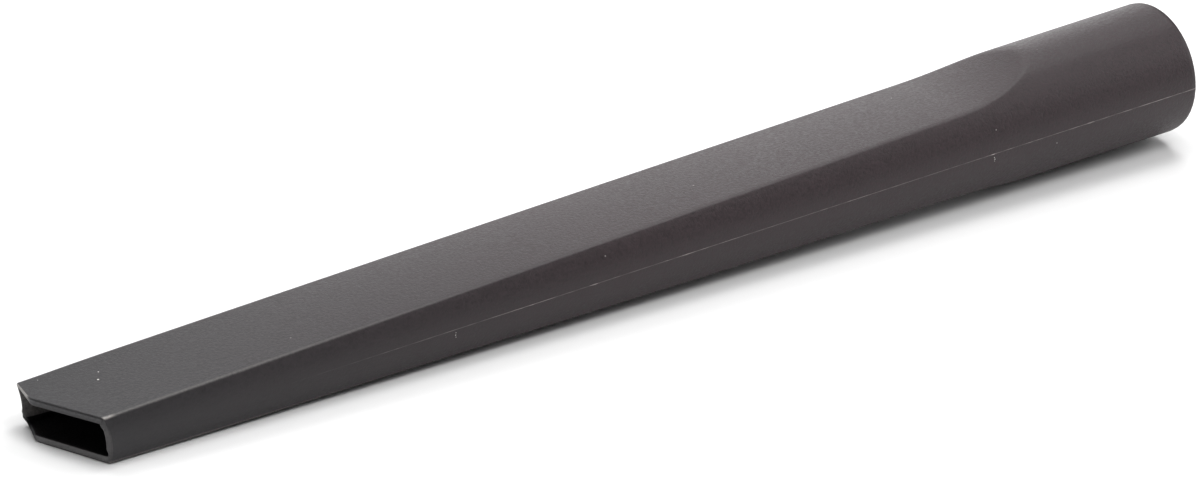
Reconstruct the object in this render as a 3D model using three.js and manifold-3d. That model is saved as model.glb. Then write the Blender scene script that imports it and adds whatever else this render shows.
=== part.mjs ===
// Crevice nozzle for a vacuum cleaner: one hollow moulding, round at the socket that takes the wand,
// pressed flat above and below towards a narrow mouth that is cut on the slant.
// Millimetres. +X runs along the tool from the mouth to the socket, +Z is up, Y is across.
// The origin is the centre of the tool's bounding box.
import * as THREE from "three";
import { mergeVertices } from "three/addons/utils/BufferGeometryUtils.js";
import Module from "manifold-3d";

// Overall sizes
const overallLength = 335.4; // apex of the mouth's upper lip to the socket's rim
const socketDiameter = 36; // outside, at the rim
const tipDiameter = 30.9; // outside of the rounded sides, at the apex of the mouth
const tipHeight = 11.43; // flat to flat, outside, at the apex of the mouth
const wall = 1.8; // the same everywhere

// Flats, which part from the tip towards the socket
const flatAngle = THREE.MathUtils.degToRad(1.278); // each flat to the axis
const runOutFromRim = 76.2; // socket's rim to where the flats start to curve out
const runOutRadius = 84; // of that curve, outside

// Mouth, seen from above
const apexOffset = 5.9; // apex to the left of the centre line
const slantAngle = THREE.MathUtils.degToRad(24); // long edge, back from square
const backAngle = THREE.MathUtils.degToRad(7); // short edge, back from square
const cornerRadius = 2; // where the short edge meets the side
const lipLean = THREE.MathUtils.degToRad(3); // lower lip, back from the upper lip

// Socket
const leadIn = 0.5; // chamfer inside the rim that guides the wand in

// Fineness
const roundSegments = 96;
const runOutSegments = 24;
const overshoot = 4; // how far a cutting shape runs past what it cuts

const tipX = -overallLength / 2;
const rimX = overallLength / 2;
const runOutX = rimX - runOutFromRim;
const tubeSlope = (socketDiameter - tipDiameter) / 2 / overallLength;
const tubeAngle = Math.atan(tubeSlope);

const wasm = await Module();
wasm.setup();

function toSolid(geometry) {
  const bare = geometry.clone();
  bare.deleteAttribute("normal");
  bare.deleteAttribute("uv");
  const merged = mergeVertices(bare, 1e-5);
  const mesh = new wasm.Mesh({
    numProp: 3,
    vertProperties: merged.attributes.position.array,
    triVerts: new Uint32Array(merged.index.array),
  });
  return new wasm.Manifold(mesh);
}

function toGeometry(solid) {
  const mesh = solid.getMesh();
  const geometry = new THREE.BufferGeometry();
  geometry.setAttribute("position", new THREE.BufferAttribute(mesh.vertProperties, 3));
  geometry.setIndex(new THREE.BufferAttribute(mesh.triVerts, 1));
  const faceted = geometry.toNonIndexed();
  faceted.computeVertexNormals();
  return faceted;
}

// A solid of revolution about X from [x, radius] points that run from low to high x.
function turned(points) {
  const first = points[0];
  const last = points[points.length - 1];
  const profile = [[first[0], 0], ...points, [last[0], 0]];
  const outline = profile.map(([x, radius]) => new THREE.Vector2(radius, x));
  const geometry = new THREE.LatheGeometry(outline, roundSegments);
  geometry.rotateZ(-Math.PI / 2);
  return toSolid(geometry);
}

// Outside radius of the tapered tube that the rounded sides belong to.
function tubeRadius(x) {
  return tipDiameter / 2 + (x - tipX) * tubeSlope;
}

// The tapered tube, its surface moved in by inset, running overshoot past each end when it is to cut.
function taperedTube(inset, past) {
  const shrink = inset / Math.cos(tubeAngle);
  const stations = [tipX - overshoot, rimX + past];
  return turned(stations.map((x) => [x, tubeRadius(x) - shrink]));
}

// Half of the height between the flats, measured before the run-out.
function flatHalfHeight(x) {
  return tipHeight / 2 + (x - tipX) * Math.tan(flatAngle);
}

// The space between the two flats, moved in by inset: straight, then curving out past the tube.
function betweenFlats(inset) {
  const startX = tipX - overshoot;
  const endX = rimX + overshoot;
  const shift = inset / Math.cos(flatAngle);
  const clearOfTube = tubeRadius(endX) + overshoot;
  const centreX = runOutX - runOutRadius * Math.sin(flatAngle);
  const centreZ = flatHalfHeight(runOutX) + runOutRadius * Math.cos(flatAngle);
  const radius = runOutRadius + inset;
  const startTurn = -Math.PI / 2 + flatAngle;
  const endTurn = -Math.asin(Math.max(0, (centreZ - clearOfTube) / radius));

  const half = new THREE.Path();
  half.moveTo(startX, flatHalfHeight(startX) - shift);
  half.lineTo(centreX + radius * Math.cos(startTurn), centreZ + radius * Math.sin(startTurn));
  half.absarc(centreX, centreZ, radius, startTurn, endTurn, false);
  half.lineTo(endX, clearOfTube);
  const upper = half.getPoints(runOutSegments);
  const lower = upper.map((point) => new THREE.Vector2(point.x, -point.y));
  const outline = new THREE.Shape([...upper, ...lower.reverse()]);
  const depth = socketDiameter + 2 * overshoot;
  const geometry = new THREE.ExtrudeGeometry(outline, { depth, bevelEnabled: false });
  geometry.translate(0, 0, -depth / 2);
  geometry.rotateX(Math.PI / 2);
  return toSolid(geometry);
}

// Everything behind the mouth: a prism on the mouth's outline from above, leaning back below.
function behindMouth() {
  const side = socketDiameter / 2 + overshoot;
  const backX = rimX + 2 * overshoot;
  const longRun = (side + apexOffset) * Math.tan(slantAngle);
  const cornerY = tipDiameter / 2 - cornerRadius;
  const shortRun = (cornerY - apexOffset) * Math.tan(backAngle);
  const cornerX = tipX + shortRun + cornerRadius / Math.cos(backAngle);
  const outline = new THREE.Shape();
  outline.moveTo(tipX, apexOffset);
  outline.lineTo(tipX + longRun, -side);
  outline.lineTo(backX, -side);
  outline.lineTo(backX, side);
  outline.absarc(cornerX, cornerY, cornerRadius, Math.PI / 2, Math.PI - backAngle, false);
  outline.closePath();
  const geometry = new THREE.ExtrudeGeometry(outline, { depth: 2 * side, bevelEnabled: false });
  geometry.translate(0, 0, -side);
  const lean = new THREE.Matrix4().makeShear(0, 0, 0, 0, -Math.tan(lipLean), 0);
  geometry.applyMatrix4(lean);
  geometry.translate((tipHeight / 2) * Math.tan(lipLean), 0, 0);
  return toSolid(geometry);
}

// The tool's shape with its surface moved in by inset, before the mouth is cut.
function pressedTube(inset, past) {
  return taperedTube(inset, past).intersect(betweenFlats(inset));
}

// A short cone that takes the inner edge off the rim.
function rimChamfer() {
  const bore = tubeRadius(rimX) - wall / Math.cos(tubeAngle);
  return turned([
    [rimX - leadIn, bore],
    [rimX + overshoot, bore + leadIn + overshoot],
  ]);
}

function nozzleBody() {
  const outside = pressedTube(0, 0).intersect(behindMouth());
  const airway = pressedTube(wall, overshoot);
  return outside.subtract(airway).subtract(rimChamfer());
}

function mouldedPlastic() {
  return new THREE.MeshStandardMaterial({ color: 0x474445, roughness: 0.62, metalness: 0 });
}

const nozzle = new THREE.Group();
const body = new THREE.Mesh(toGeometry(nozzleBody()), mouldedPlastic());
body.name = "nozzle_body";
nozzle.add(body);

export default nozzle;
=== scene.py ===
import bpy
import math
import numpy as np
from mathutils import Matrix, Quaternion, Vector


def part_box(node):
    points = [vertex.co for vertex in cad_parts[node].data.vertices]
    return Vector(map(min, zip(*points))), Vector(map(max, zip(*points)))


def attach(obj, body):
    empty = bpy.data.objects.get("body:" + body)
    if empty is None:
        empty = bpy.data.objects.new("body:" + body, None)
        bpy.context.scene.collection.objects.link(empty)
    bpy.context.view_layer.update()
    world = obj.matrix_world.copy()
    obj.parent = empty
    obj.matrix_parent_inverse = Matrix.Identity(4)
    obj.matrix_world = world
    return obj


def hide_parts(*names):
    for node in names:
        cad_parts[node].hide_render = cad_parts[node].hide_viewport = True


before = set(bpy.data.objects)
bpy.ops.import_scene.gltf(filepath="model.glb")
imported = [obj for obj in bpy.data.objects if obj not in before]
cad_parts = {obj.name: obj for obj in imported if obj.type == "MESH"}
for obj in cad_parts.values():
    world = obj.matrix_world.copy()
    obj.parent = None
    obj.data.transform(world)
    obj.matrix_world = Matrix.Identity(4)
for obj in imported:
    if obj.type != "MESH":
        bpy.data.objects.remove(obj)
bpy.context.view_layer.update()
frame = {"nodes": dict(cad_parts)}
print("frame loaded:", ", ".join(frame["nodes"]))

mm = 0.001  # lengths below are in millimetres, and turn to metres where Blender gets them


def hexToLinear(hexColour):
    channels = [int(hexColour[i:i + 2], 16) / 255 for i in (1, 3, 5)]
    linear = [c / 12.92 if c <= 0.04045 else ((c + 0.055) / 1.055) ** 2.4 for c in channels]
    return (*linear, 1.0)


def smoothStep(value, low, high):
    share = np.clip((value - low) / (high - low), 0, 1)
    return share * share * (3 - 2 * share)


def softMin(a, b, blend):
    overlap = np.maximum(blend - np.abs(a - b), 0) / blend
    return np.minimum(a, b) - overlap ** 2 * blend / 4


nodeLow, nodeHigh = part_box("nozzle_body")
nozzle = {
    "tipX": nodeLow[0] / mm,  # apex of the mouth's upper lip
    "rimX": nodeHigh[0] / mm,
    "socketRadius": nodeHigh[2] / mm,
    "tipRadius": 15.45,  # of the rounded sides, at the apex
    "tipHeight": 11.43,  # flat to flat, at the apex
    "wall": 1.8,
    "flatAngle": math.radians(1.278),  # each flat to the axis
    "runOutFromRim": 76.2,  # rim to where the flats start to curve out
    "runOutRadius": 84.0,
    "crown": 0.65,  # how far the middle of a flat stands above its edges
    "crownRise": (5.0, 110.0),  # behind the apex, where it grows
    "crownFall": (5.0, 55.0),  # behind the start of the run-out, where it fades
    "lowerDrop": 0.4,  # lower flat at the mouth, below the upper flat's mirror image
    "dropReach": 110.0,
    "creaseBlend": 0.7,  # width of the soft crease between flat and side
    "farBlend": 1.8,  # of the creases at the mouth's short edge
    "farBlendFall": (1.0, 24.0),  # behind the apex, where that fades
    "farSide": (0.1, 0.5),  # cosine of the turn from the far side, where it starts and is full
    "rimRound": 0.4,  # how far the rim is drawn in
    "rimRoundLength": 1.7,
    "leadIn": 0.5,
}

lip = {
    "apexOffset": 5.9,  # apex to the left of the centre line
    "slantAngle": math.radians(24),
    "backAngle": math.radians(7),
    "cornerRadius": 2.9,  # far corner, from above
    "lean": math.radians(3),
    "apexBlend": 0.4,
    "trimFrom": (5.2, -5.9),  # y and z of the line below which the far corner is trimmed back
    "trimTo": (15.4, -2.2),
    "trimX": 0.65,  # of that line's low end, behind the apex
    "trimRise": 0.07,  # how far the line goes back for each millimetre across
    "trimSlope": 0.6,  # and the trimmed lip for each millimetre past the line
    "trimBlend": 0.1,
    "edgeRound": 0.18,
    "upperWall": 2.0,
    "lowerWall": 1.38,
    "nearWall": 1.55,
    "shortWall": 0.7,
    "wallTurn": (2.2, 3.6),  # height where the near side's wall turns into the flats'
    "shortTurn": (4.5, 9.0),  # and across, where it turns into the short edge's
    "wallReach": 5.0,  # how far in the wall gets back to its own thickness
    "lowerBevel": 0.55,  # how far the lower lip's inner edge stands behind its outer edge
    "bevelTurn": (2.5, 4.0),  # below the middle, where that sets in
    "bevelReach": 3.0,
    "grooveTop": 0.22,  # the line under the long edge, below the flat
    "grooveHeight": 0.26,
    "grooveDepth": 0.35,
    "grooveNear": (-14.5, -12.5),  # where it starts and ends, across
    "grooveFar": (5.0, 6.5),
    "grooveFloor": (2.6, 3.6),  # and where it fades out, in height
    "tag": 0.5,  # a scrap of flash on the far side
    "tagZ": -2.6,
    "tagWidth": 0.3,
}

seam = {
    "height": 0.1,  # of the raised line that the mould's halves leave
    "halfWidth": 0.13,
    "fade": (-118.0, -35.0),  # it's worn away at the mouth
    "knotStep": 1.3,  # spacing of its uneven spots
    "slowKnots": 9,
    "nibHeight": 0.3,
    "nibs": [(-43.2, 0.8), (-25.5, 1.2), (2.4, 0.7), (98.4, 1.0), (131.0, 0.8)],  # place, width
    "farShift": 37.0,  # the far side's line is uneven in other places
    "seed": 11,
}

grid = {
    "seamHeights": [0.0, 0.05, 0.1, 0.15, 0.3, 0.6],  # columns beside the parting line
    "sideColumns": 7,
    "creaseColumns": 12,
    "flatColumns": 11,
    "creaseReach": 1.5,  # of the close columns, to each side of the crease
    "rowStep": 1.0,
    "fineRowStep": 0.5,  # where the flats curve out
    "fineRows": (-6.0, 36.0),  # behind the start of the run-out
    "innerRowStep": 2.5,
}


def tubeRadius(x, inset):
    share = (x - nozzle["tipX"]) / (nozzle["rimX"] - nozzle["tipX"])
    return nozzle["tipRadius"] + share * (nozzle["socketRadius"] - nozzle["tipRadius"]) - inset


def flatHeight(x, inset):
    angle, runOut = nozzle["flatAngle"], nozzle["rimX"] - nozzle["runOutFromRim"]
    straight = nozzle["tipHeight"] / 2 + (x - nozzle["tipX"]) * math.tan(angle)
    atRunOut = nozzle["tipHeight"] / 2 + (runOut - nozzle["tipX"]) * math.tan(angle)
    centreX = runOut - nozzle["runOutRadius"] * math.sin(angle)
    centreZ = atRunOut + nozzle["runOutRadius"] * math.cos(angle)
    radius = nozzle["runOutRadius"] + inset
    along = np.clip(x - centreX, 0, radius)
    curved = centreZ - np.sqrt(radius ** 2 - along ** 2)
    tangentX = centreX + radius * math.sin(angle)
    return np.where(x < tangentX, straight - inset / math.cos(angle), curved)


# Distance from the axis to the skin: the tapered tube, cut by a slightly crowned flat.
def sectionRadius(theta, x, inset):
    rise = np.maximum(np.abs(np.sin(theta)), 1e-6)
    behind = x - nozzle["tipX"]
    runOut = nozzle["rimX"] - nozzle["runOutFromRim"]
    tube = tubeRadius(x, inset)
    drop = nozzle["lowerDrop"] * (1 - smoothStep(behind, 0, nozzle["dropReach"]))
    height = flatHeight(x, inset) + (np.sin(theta) < 0) * drop
    edge = np.sqrt(np.maximum(tube ** 2 - height ** 2, 1))
    across = height * np.abs(np.cos(theta)) / rise / edge
    along = smoothStep(behind, *nozzle["crownRise"]) * (1 - smoothStep(x - runOut, *nozzle["crownFall"]))
    crown = nozzle["crown"] * along * np.clip(1 - across ** 2, 0, 1)
    far = smoothStep(np.cos(theta), *nozzle["farSide"]) * (1 - smoothStep(behind, *nozzle["farBlendFall"]))
    blend = nozzle["creaseBlend"] + (nozzle["farBlend"] - nozzle["creaseBlend"]) * far
    return softMin(tube, (height + crown) / rise, blend)


# Where the mouth's lip stands, for a point across the tool.
def lipX(y, z):
    longEdge = nozzle["tipX"] + (lip["apexOffset"] - y) * math.tan(lip["slantAngle"])
    shortEdge = nozzle["tipX"] + (y - lip["apexOffset"]) * math.tan(lip["backAngle"])
    cut = -softMin(-longEdge, -shortEdge, lip["apexBlend"])
    radius = lip["cornerRadius"]
    cornerY = nozzle["tipRadius"] - radius
    run = (cornerY - lip["apexOffset"]) * math.tan(lip["backAngle"])
    cornerX = nozzle["tipX"] + run + radius / math.cos(lip["backAngle"])
    rounded = cornerX - np.sqrt(radius ** 2 - np.clip(y - cornerY, 0, radius) ** 2)
    cut = np.where(y > cornerY, np.maximum(cut, rounded), cut)
    leaning = cut + (nozzle["tipHeight"] / 2 - z) * math.tan(lip["lean"])
    (fromY, fromZ), (toY, toZ) = lip["trimFrom"], lip["trimTo"]
    span = math.hypot(toY - fromY, toZ - fromZ)
    past = ((y - fromY) * (toZ - fromZ) - (z - fromZ) * (toY - fromY)) / span
    trimmed = nozzle["tipX"] + lip["trimX"] + lip["trimRise"] * (y - fromY) + lip["trimSlope"] * past
    return -softMin(-leaning, -trimmed, lip["trimBlend"])


# Column angles from the parting line at 0 to the middle of the flat at a quarter turn.
def quadrantAngles(x, inset):
    radius, height = tubeRadius(x, inset), float(flatHeight(np.array(x), inset))
    crease = math.asin(min(height / radius, math.sin(math.radians(62))))
    reach = grid["creaseReach"] / radius
    near = [math.asin(h / radius) for h in grid["seamHeights"]]
    before = np.linspace(near[-1], crease - reach, grid["sideColumns"] + 1)[1:]
    across = np.linspace(0, 1, grid["creaseColumns"] + 1)[1:]
    after = crease + reach * math.sin(crease)
    crossing = crease - reach + across * (after - crease + reach)
    slide = np.linspace(1, 0, grid["flatColumns"] + 1)[1:]
    onFlat = np.arctan2(1, slide / math.tan(after))
    return np.concatenate([near, before, crossing, onFlat])


def fullTurn(x, inset):
    quarter = quadrantAngles(x, inset)
    half = np.concatenate([quarter, (math.pi - quarter[:-1])[::-1]])
    return np.concatenate([half, (2 * math.pi - half[1:-1])[::-1]])


# Uneven height of the flash along the tool, with its nibs.
def seamHeightAlong(stations):
    random = np.random.default_rng(seam["seed"])
    knots = np.arange(nozzle["tipX"] - 5, nozzle["rimX"] + 5, seam["knotStep"])
    slowKnots = knots[::seam["slowKnots"]]
    rough = np.interp(stations, knots, random.uniform(0.2, 1.0, len(knots)))
    slow = np.interp(stations, slowKnots, random.uniform(0.35, 1.0, len(slowKnots)))
    height = seam["height"] * rough * slow * smoothStep(stations, *seam["fade"])
    for centre, width in seam["nibs"]:
        height = height + seam["nibHeight"] * np.exp(-((stations - centre) / (width * 0.4)) ** 2)
    return height


# Rows round the lip, from the outside: behind the lip, share of the wall, further inset, groove.
def lipRows():
    r, top, height = lip["edgeRound"], lip["grooveTop"], lip["grooveHeight"]
    turns = np.linspace(0, math.pi / 2, 5)
    rows = [(behind, 0, 0, 0) for behind in (2.4, 1.6, 1.1, 0.7, 0.35)]
    rows += [(r * (1 - math.sin(turn)), 0, r * (1 - math.cos(turn)), 0) for turn in turns]
    rows += [(0, 0, top, 0), (0, 0, top + 0.04, 1)]
    rows += [(0, 0, top + height - 0.04, 1), (0, 0, top + height, 0)]
    rows += [(r * (1 - math.cos(turn)), 1, -r * (1 - math.sin(turn)), 0) for turn in turns]
    return rows


# Rows round the socket's rim: before the rim, inset.
def rimRows():
    length, depth, wall = nozzle["rimRoundLength"], nozzle["rimRound"], nozzle["wall"]
    cut = nozzle["leadIn"]
    turns = np.linspace(0, math.pi / 2, 9)
    rows = [(length * (1 - math.sin(turn)), depth * (1 - math.cos(turn))) for turn in turns]
    rows += [(0, wall - cut - 0.12), (0.04, wall - cut), (cut, wall - 0.03), (cut + 0.15, wall), (1.5, wall)]
    return rows


# Every ring of the closed skin: behind the lip, share of the wall, further inset, groove, on the outside.
def nozzleRings():
    length = nozzle["rimX"] - nozzle["tipX"]
    runOut = length - nozzle["runOutFromRim"]
    fineFrom, fineTo = (runOut + row for row in grid["fineRows"])
    outer = list(np.arange(3.4, fineFrom, grid["rowStep"]))
    outer += list(np.arange(fineFrom, fineTo, grid["fineRowStep"]))
    outer += list(np.arange(fineTo, length - 2.6, grid["rowStep"]))
    inner = list(np.arange(length - 4, 4, -grid["innerRowStep"]))
    rings = [(behind, 0, 0, 0, True) for behind in outer]
    rings += [(length - before, 0, inset, 0, inset < 1) for before, inset in rimRows()]
    rings += [(behind, 1, 0, 0, False) for behind in inner + [3.0, 2.0, 1.2, 0.6]]
    rings += [(*row, row[1] == 0) for row in reversed(lipRows())]
    return rings


# Thickness of the wall near the mouth: heaviest along the upper lip, thin along the short edge.
def wallAt(behind, y, z):
    onUpper, onLower = smoothStep(z, *lip["wallTurn"]), smoothStep(-z, *lip["wallTurn"])
    wall = lip["nearWall"] + (lip["upperWall"] - lip["nearWall"]) * onUpper
    wall = wall + (lip["lowerWall"] - lip["nearWall"]) * onLower
    wall = wall + (lip["shortWall"] - wall) * smoothStep(y, *lip["shortTurn"])
    return nozzle["wall"] + (wall - nozzle["wall"]) * np.exp(-behind / lip["wallReach"])


def ringPoints(ring):
    behind, share, extra, groove, outside = ring
    along = behind / (nozzle["rimX"] - nozzle["tipX"])
    theta = fullTurn(nozzle["tipX"] + behind, share * nozzle["wall"])
    x = np.full(len(theta), nozzle["tipX"] + behind)
    inset = np.full(len(theta), share * nozzle["wall"] + extra)
    for _ in range(6):  # the lip's place and the wall depend on the point itself
        radius = sectionRadius(theta, x, inset)
        y, z = radius * np.cos(theta), radius * np.sin(theta)
        inset = share * wallAt(behind, y, z) + extra
        grooved = smoothStep(y, *lip["grooveNear"]) * (1 - smoothStep(y, *lip["grooveFar"]))
        grooved = groove * grooved * smoothStep(z, *lip["grooveFloor"])
        bevel = share * lip["lowerBevel"] * smoothStep(-z, *lip["bevelTurn"])
        front = lipX(y, z) + bevel * math.exp(-behind / lip["bevelReach"])
        x = front + along * (nozzle["rimX"] - front) + grooved * lip["grooveDepth"]
    if outside:
        ridge = np.clip(1 - np.abs(z) / seam["halfWidth"], 0, 1) ** 0.8
        fade = np.clip(1 - extra / nozzle["rimRound"], 0, 1)
        radius = radius + ridge * fade * seamHeightAlong(x + np.where(y > 0, seam["farShift"], 0))
        scrap = np.exp(-((z - lip["tagZ"]) / lip["tagWidth"]) ** 2) * (y > 10) * (behind < 0.8)
        radius = radius + lip["tag"] * scrap
        y, z = radius * np.cos(theta), radius * np.sin(theta)
    return np.stack([x, y, z], axis=1)


# A mesh whose rings join each to the next and the last to the first.
def closedGridMesh(name, rings):
    count, around = len(rings), len(rings[0])
    vertices = np.concatenate(rings) * mm
    faces = []
    for i in range(count):
        a, b = i * around, ((i + 1) % count) * around
        for j in range(around):
            k = (j + 1) % around
            faces.append((a + j, a + k, b + k, b + j))
    mesh = bpy.data.meshes.new(name)
    mesh.from_pydata(vertices.tolist(), [], faces)
    mesh.validate()
    mesh.shade_smooth()
    return mesh


paintedLightAndShade = {
    "creases": 0.2,  # shares of the paler colour that paints highlights and light, from here to the far wall
    "nearCorner": 0.8,
    "shortEdge": 0.45,
    "lipFace": 0.05,
    "farWall": 0.22,  # painted light on the inside of the far wall, where light comes in through the mouth
    "creaseWidth": 0.6,
    "creaseFall": (10.0, 120.0),  # behind the lip, as the next one
    "cornerFall": (1.0, 3.6),
    # painted shade in the groove under the upper lip, as a share of the dark colour
    "grooveDark": 0.75,
}


def addMask(mesh, name, values):
    attribute = mesh.attributes.new(name, "FLOAT", "POINT")
    attribute.data.foreach_set("value", np.asarray(values, dtype=np.float32))


# Masks that the plastic reads: the flash, the painted highlights and light near the mouth, and the painted
# shade inside and in the groove.
def addMasks(mesh, rings, skin):
    around = len(skin) // len(rings)
    x, y, z = skin.T
    behind, _, _, groove, outside = (np.repeat(column, around) for column in zip(*rings))
    ridge = np.clip(1 - np.abs(z) / seam["halfWidth"], 0, 1) * (np.abs(y) > 10) * outside
    addMask(mesh, "seamLine", np.clip(ridge * seamHeightAlong(x) / seam["height"], 0, 1))

    # Painted highlights along the creases near the mouth, at the near top corner and on the short edge;
    # painted light on the lip face and on the inside of the far wall.
    fromCrease = np.abs(np.abs(z) - flatHeight(x, 0)) + np.abs(np.hypot(y, z) - tubeRadius(x, 0))
    crease = np.clip(1 - fromCrease / paintedLightAndShade["creaseWidth"], 0, 1) * outside
    corner = (y < 0) * (z > 0) * crease * (1 - smoothStep(behind, *paintedLightAndShade["cornerFall"]))
    shortEdge = smoothStep(y, 6.0, 6.8) * (z > 4.7) * (behind < 0.25)
    lipFace = (behind < 0.3) * (1 - smoothStep(z, 2.0, 4.0)) * (1 - smoothStep(y, 4.0, 6.0))
    farWall = smoothStep(z, -4.1, -3.9) * smoothStep(y, 9.0, 10.0) * (1 - smoothStep(behind, 12, 16))
    paintedLight = paintedLightAndShade["creases"] * crease * (1 - smoothStep(behind, *paintedLightAndShade["creaseFall"]))
    paintedLight = paintedLight + paintedLightAndShade["nearCorner"] * corner + paintedLightAndShade["shortEdge"] * shortEdge
    paintedLight = paintedLight + paintedLightAndShade["lipFace"] * lipFace + paintedLightAndShade["farWall"] * farWall * ~outside
    addMask(mesh, "paintedHighlights", np.clip(paintedLight, 0, 1))

    # Painted shade: the bore behind the mouth and the groove under the upper lip are darkened in colour.
    inGroove = groove * (z > 3) * (y < 5.6) * (y > -14)
    deep = ~outside * smoothStep(behind, 0.1, 0.8) * (1 - farWall)
    addMask(mesh, "paintedShade", np.maximum(deep, paintedLightAndShade["grooveDark"] * inGroove))


def makeNozzle():
    rings = nozzleRings()
    points = [ringPoints(ring) for ring in rings]
    skin = np.concatenate(points)
    mesh = closedGridMesh("nozzleBody", points)
    addMasks(mesh, rings, skin)
    piece = bpy.data.objects.new("nozzleBody", mesh)
    bpy.context.scene.collection.objects.link(piece)
    print("nozzle skin:", len(skin), "points")
    return piece, skin


plastic = {
    "colour": "#25191d",
    "mouthColour": "#1b191c",  # darker and less red towards the mouth
    "mouthReach": (-165.0, -20.0),
    "paleColour": "#9a9290",  # thin flash
    # painted highlights on edges near the mouth, and painted light on the lip face and the far wall inside
    "paintedHighlightColour": "#b3aeaa",
    # painted shade in the bore and in the groove
    "paintedShadeColour": "#0c0b0c",
    "dustColour": "#cfccc8",
    "roughness": 0.515,
    "roughnessSpread": 0.11,  # the pits are duller than the rims between them
    "ior": 1.49,
    "specular": 0.5,
    "paintedShadeSpecular": 0.12,  # reflections turned down with the painted shade in the bore
    "grainSize": 0.8,  # spark marks, drawn three times as coarse as real so that they show
    "grainDepth": 0.12,
    "grainStrength": 0.9,
    "mottleSize": 9.0,
    "mottleContrast": 0.3,
    "flowSize": (60.0, 7.0, 7.0),  # faint streaks along the flow of the melt
    "flowContrast": 0.16,
    "dustSpacing": 7.0,
    "dustRadius": (0.245, 0.14),  # where a grain starts and where it's full
    "dustStrength": 0.25,
    "dustAbove": 0.85,  # share of the cells that stay clean
    # single specks: x, y, z, radius
    "specks": [(-150.9, 3.0, 6.08, 0.3), (-149.1, 6.3, 6.12, 0.2), (-162.1, 11.9, 5.83, 0.13),
               (99.0, -17.43, -1.06, 0.16), (99.2, -17.4, -1.6, 0.18), (99.1, -17.35, -2.1, 0.12),
               (120.0, -17.38, -2.89, 0.14), (100.3, -16.4, 6.04, 0.12), (-65.2, -16.15, -0.9, 0.13),
               (-65.3, -16.15, -1.5, 0.15), (-65.2, -16.1, -2.1, 0.12)],
}


# Adds a node, sets its properties and input values, and links its inputs from (node, output) pairs.
def addNode(tree, kind, settings=None, links=None):
    node = tree.nodes.new(kind)
    for key, value in (settings or {}).items():
        if isinstance(key, int) or key in node.inputs:
            node.inputs[key].default_value = value
        else:
            setattr(node, key, value)
    for key, (source, output) in (links or {}).items():
        tree.links.new(source.outputs[output], node.inputs[key])
    return node


# Dust as a share of the surface: sparse grains everywhere, and the single specks.
def addDust(tree, place):
    cells = addNode(tree, "ShaderNodeTexVoronoi",
                    {"Scale": 1 / mm / plastic["dustSpacing"], "Randomness": 1.0},
                    {"Vector": (place, "Object")})
    start, full = (radius / plastic["dustSpacing"] for radius in plastic["dustRadius"])
    near = addNode(tree, "ShaderNodeMapRange",
                   {"From Min": start, "From Max": full, "To Min": 0.0, "To Max": plastic["dustStrength"]},
                   {"Value": (cells, "Distance")})
    chance = addNode(tree, "ShaderNodeSeparateColor", {}, {"Color": (cells, "Color")})
    chosen = addNode(tree, "ShaderNodeMath", {"operation": "GREATER_THAN", 1: plastic["dustAbove"]},
                     {0: (chance, 0)})
    dust = addNode(tree, "ShaderNodeMath", {"operation": "MULTIPLY"}, {0: (near, 0), 1: (chosen, 0)})
    for x, y, z, radius in plastic["specks"]:
        gap = addNode(tree, "ShaderNodeVectorMath", {"operation": "DISTANCE", 1: (x * mm, y * mm, z * mm)},
                      {0: (place, "Object")})
        speck = addNode(tree, "ShaderNodeMapRange",
                        {"From Min": radius * mm, "From Max": radius * mm * 0.6,
                         "To Min": 0.0, "To Max": 1.0},
                        {"Value": (gap, "Value")})
        dust = addNode(tree, "ShaderNodeMath", {"operation": "MAXIMUM"}, {0: (dust, 0), 1: (speck, 0)})
    return dust
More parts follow.
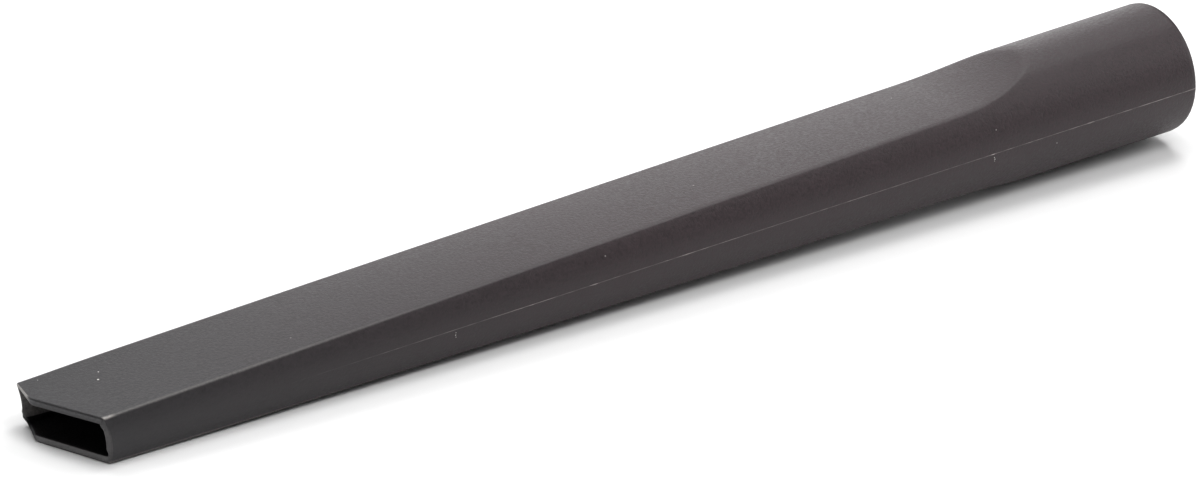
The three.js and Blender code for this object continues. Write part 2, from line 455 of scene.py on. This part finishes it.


# Colour: greyed at the mouth, mottled and streaked by a few per cent, paler on the flash, with painted
# highlights on edges and painted shade inside and in the groove.
def addColour(tree, place, grain, paintedShadeMask):
    mottle = addNode(tree, "ShaderNodeTexNoise",
                     {"Scale": 1 / mm / plastic["mottleSize"], "Detail": 4.0, "Roughness": 0.6},
                     {"Vector": (place, "Object")})
    stretched = addNode(tree, "ShaderNodeMapping",
                        {"Scale": tuple(1 / mm / size for size in plastic["flowSize"])},
                        {"Vector": (place, "Object")})
    flow = addNode(tree, "ShaderNodeTexNoise", {"Scale": 1.0, "Detail": 2.0},
                   {"Vector": (stretched, "Vector")})
    shade = addNode(tree, "ShaderNodeMath",
                    {"operation": "MULTIPLY_ADD", 1: plastic["mottleContrast"],
                     2: 1 - plastic["mottleContrast"] / 2},
                    {0: (mottle, "Fac")})
    streak = addNode(tree, "ShaderNodeMath",
                     {"operation": "MULTIPLY_ADD", 1: plastic["flowContrast"],
                      2: 1 - plastic["flowContrast"] / 2},
                     {0: (flow, "Fac")})
    fine = addNode(tree, "ShaderNodeMath", {"operation": "MULTIPLY", 1: 2.0}, {0: (grain, "Fac")})
    both = addNode(tree, "ShaderNodeMath", {"operation": "MULTIPLY"}, {0: (shade, 0), 1: (streak, 0)})
    allThree = addNode(tree, "ShaderNodeMath", {"operation": "MULTIPLY"}, {0: (both, 0), 1: (fine, 0)})

    axes = addNode(tree, "ShaderNodeSeparateXYZ", {}, {"Vector": (place, "Object")})
    near, far = (x * mm for x in plastic["mouthReach"])
    greyed = addNode(tree, "ShaderNodeMapRange",
                     {"From Min": near, "From Max": far, "To Min": 1.0, "To Max": 0.0},
                     {"Value": (axes, "X")})
    tint = addNode(tree, "ShaderNodeMix",
                   {"data_type": "RGBA", 6: hexToLinear(plastic["colour"]),
                    7: hexToLinear(plastic["mouthColour"])},
                   {0: (greyed, 0)})
    base = addNode(tree, "ShaderNodeMix", {"data_type": "RGBA", "blend_type": "MULTIPLY", 0: 1.0},
                   {6: (tint, 2), 7: (allThree, 0)})

    seamMask = addNode(tree, "ShaderNodeAttribute", {"attribute_name": "seamLine"})
    # the painted highlights and painted light, as a share of the paler colour
    paintedHighlightMask = addNode(tree, "ShaderNodeAttribute", {"attribute_name": "paintedHighlights"})
    seamPatchy = addNode(tree, "ShaderNodeMath", {"operation": "MULTIPLY"},
                         {0: (seamMask, "Fac"), 1: (shade, 0)})
    paintedHighlightShare = addNode(tree, "ShaderNodeMath", {"operation": "MULTIPLY", "use_clamp": True},
                          {0: (paintedHighlightMask, "Fac"), 1: (fine, 0)})
    covers = [("paleColour", (seamPatchy, 0)), ("paintedHighlightColour", (paintedHighlightShare, 0)),
              ("dustColour", (addDust(tree, place), 0)), ("paintedShadeColour", (paintedShadeMask, "Fac"))]
    colour = base
    for key, share in covers:
        colour = addNode(tree, "ShaderNodeMix", {"data_type": "RGBA", 7: hexToLinear(plastic[key])},
                         {0: share, 6: (colour, 2)})
    return colour


# Polypropylene moulded in a spark-eroded cavity: a dry, even grain that spreads highlights wide,
# with paler plastic where the flash is thin, painted highlights on edges near the mouth and painted shade in
# the bore.
def makePolypropylene():
    material = bpy.data.materials.new("polypropyleneSparkEroded")
    material.use_nodes = True
    tree = material.node_tree
    tree.nodes.clear()
    place = addNode(tree, "ShaderNodeTexCoord")
    paintedShadeMask = addNode(tree, "ShaderNodeAttribute", {"attribute_name": "paintedShade"})
    grain = addNode(tree, "ShaderNodeTexNoise",
                    {"Scale": 1 / mm / plastic["grainSize"], "Detail": 3.0, "Roughness": 0.7},
                    {"Vector": (place, "Object")})
    colour = addColour(tree, place, grain, paintedShadeMask)
    rough = addNode(tree, "ShaderNodeMapRange",
                    {"From Min": 0.3, "From Max": 0.7,
                     "To Min": plastic["roughness"] - plastic["roughnessSpread"],
                     "To Max": plastic["roughness"] + plastic["roughnessSpread"]},
                    {"Value": (grain, "Fac")})
    # reflections turned down where the shade inside is painted
    gloss = addNode(tree, "ShaderNodeMapRange",
                    {"To Min": plastic["specular"], "To Max": plastic["paintedShadeSpecular"]},
                    {"Value": (paintedShadeMask, "Fac")})
    bump = addNode(tree, "ShaderNodeBump",
                   {"Strength": plastic["grainStrength"], "Distance": plastic["grainDepth"] * mm},
                   {"Height": (grain, "Fac")})
    shader = addNode(tree, "ShaderNodeBsdfPrincipled", {"IOR": plastic["ior"]},
                     {"Base Color": (colour, 2), "Roughness": (rough, 0), "Specular IOR Level": (gloss, 0),
                      "Normal": (bump, 0)})
    addNode(tree, "ShaderNodeOutputMaterial", {}, {"Surface": (shader, 0)})
    return material


body, skin = makeNozzle()
body.data.materials.append(makePolypropylene())
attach(body, "root")
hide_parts("nozzle_body")
print("nozzle and its plastic done")


studio = {
    "floorColour": "#e7e7e7",
    "floorSize": 6000.0,
    "floorGap": 0.02,  # keeps the floor clear of the tool
    "footReach": 15.0,  # behind the apex, where the mouth may touch the floor
    "restSlope": 0.04,  # how steeply the tool rises to its socket, roughly, to find the lip's foot
    "roomLight": 0.05,
    "lookAzimuth": 56.83,  # the way the camera looks, from +X to +Y
    # softboxes: millimetres ahead of the tool, to its right and up; width, depth or height; watts; facing
    "softboxes": {
        "overhead": (0.0, 0.0, 900.0, 400.0, 400.0, 2.7, "down"),
        "overheadFront": (-400.0, 0.0, 900.0, 400.0, 400.0, 0.9, "down"),
        "overheadNear": (-400.0, 400.0, 900.0, 400.0, 400.0, 4.6, "down"),
        "overheadFarLeft": (400.0, -400.0, 900.0, 400.0, 400.0, 4.8, "down"),
        "overheadFarRight": (400.0, 400.0, 900.0, 400.0, 400.0, 4.0, "down"),
        "behindLow": (700.0, -50.0, 150.0, 500.0, 300.0, 1.3, "front"),
        "behindLeft": (600.0, -340.0, 600.0, 400.0, 300.0, 0.5, "origin"),
        "behindRight": (700.0, 170.0, 450.0, 300.0, 300.0, 1.15, "front"),
        "right": (200.0, 700.0, 250.0, 400.0, 400.0, 1.6, "left"),
        "left": (-100.0, -900.0, 140.0, 500.0, 200.0, 2.9, "right"),
        "frontHigh": (-600.0, 350.0, 700.0, 500.0, 400.0, 1.4, "origin"),
    },
    "cameraTarget": (-12.473, 0.0, 2.117),
    "cameraAzimuth": -33.165,
    "cameraElevation": 25.829,
    "cameraRoll": -2.0955,
    "cameraDistance": 1019.6,
    "lens": 123.13,
}


# Foot of the mouth and slope of the plane that the tool lies on, touching it and the round part.
def restingLine(points):
    x, z = points[:, 0], points[:, 2]
    front = points[x < nozzle["tipX"] + studio["footReach"]]
    footX, footZ = front[np.argmin(front[:, 2] + studio["restSlope"] * front[:, 0])][[0, 2]]
    behind = x > 0
    return footX, footZ, np.min((z[behind] - footZ) / (x[behind] - footX))


# Matt white paper: it takes soft shadows and gives no highlight.
def makePaper():
    material = bpy.data.materials.new("paperWhiteMatt")
    material.use_nodes = True
    shader = material.node_tree.nodes["Principled BSDF"]
    shader.inputs["Base Color"].default_value = hexToLinear(studio["floorColour"])
    shader.inputs["Roughness"].default_value = 0.9
    shader.inputs["Specular IOR Level"].default_value = 0.1
    return material


def makeFloor():
    footX, footZ, slope = restingLine(skin)
    half = studio["floorSize"] / 2
    corners = []
    for x, y in ((-half, -half), (half, -half), (half, half), (-half, half)):
        corners.append((x * mm, y * mm, (footZ + slope * (x - footX) - studio["floorGap"]) * mm))
    mesh = bpy.data.meshes.new("tableTop")
    mesh.from_pydata(corners, [], [(0, 1, 2, 3)])
    mesh.materials.append(makePaper())
    floor = bpy.data.objects.new("tableTop", mesh)
    bpy.context.scene.collection.objects.link(floor)


def makeRoom():
    world = bpy.data.worlds.new("studio")
    bpy.context.scene.world = world
    world.use_nodes = True
    level = studio["roomLight"]
    world.node_tree.nodes["Background"].inputs["Color"].default_value = (level, level, level, 1)


def makeSoftboxes():
    turn = math.radians(studio["lookAzimuth"])
    forward = Vector((math.cos(turn), math.sin(turn), 0))
    rightward = Vector((math.sin(turn), -math.cos(turn), 0))
    facing = {"down": Vector((0, 0, -1)), "front": -forward, "right": rightward, "left": -rightward}
    for name, (ahead, aside, height, width, depth, power, side) in studio["softboxes"].items():
        light = bpy.data.lights.new(name, "AREA")
        light.shape = "RECTANGLE"
        light.size, light.size_y = width * mm, depth * mm
        light.energy = power
        box = bpy.data.objects.new(name, light)
        box.location = (forward * ahead + rightward * aside + Vector((0, 0, height))) * mm
        across = forward if side in ("left", "right") else rightward
        out = -facing[side] if side in facing else box.location.normalized()
        up = out.cross(across)
        box.rotation_mode = "QUATERNION"
        box.rotation_quaternion = Matrix((across, up, out)).transposed().to_quaternion()
        bpy.context.scene.collection.objects.link(box)


def makeCamera():
    azimuth, elevation = (math.radians(studio[key]) for key in ("cameraAzimuth", "cameraElevation"))
    back = Vector((math.sin(azimuth) * math.cos(elevation),
                   -math.cos(azimuth) * math.cos(elevation),
                   math.sin(elevation)))
    data = bpy.data.cameras.new("camera")
    data.lens = studio["lens"]
    data.sensor_width = 36
    data.clip_start, data.clip_end = 0.05, 50
    camera = bpy.data.objects.new("camera", data)
    camera.location = (Vector(studio["cameraTarget"]) + back * studio["cameraDistance"]) * mm
    camera.rotation_mode = "QUATERNION"
    roll = Quaternion((0, 0, 1), math.radians(studio["cameraRoll"]))
    camera.rotation_quaternion = back.to_track_quat("Z", "Y") @ roll
    bpy.context.scene.collection.objects.link(camera)
    bpy.context.scene.camera = camera


makeFloor()
makeRoom()
makeSoftboxes()
makeCamera()
bpy.context.scene.view_settings.view_transform = "Standard"
print("studio and camera done")

bpy.context.view_layer.update()
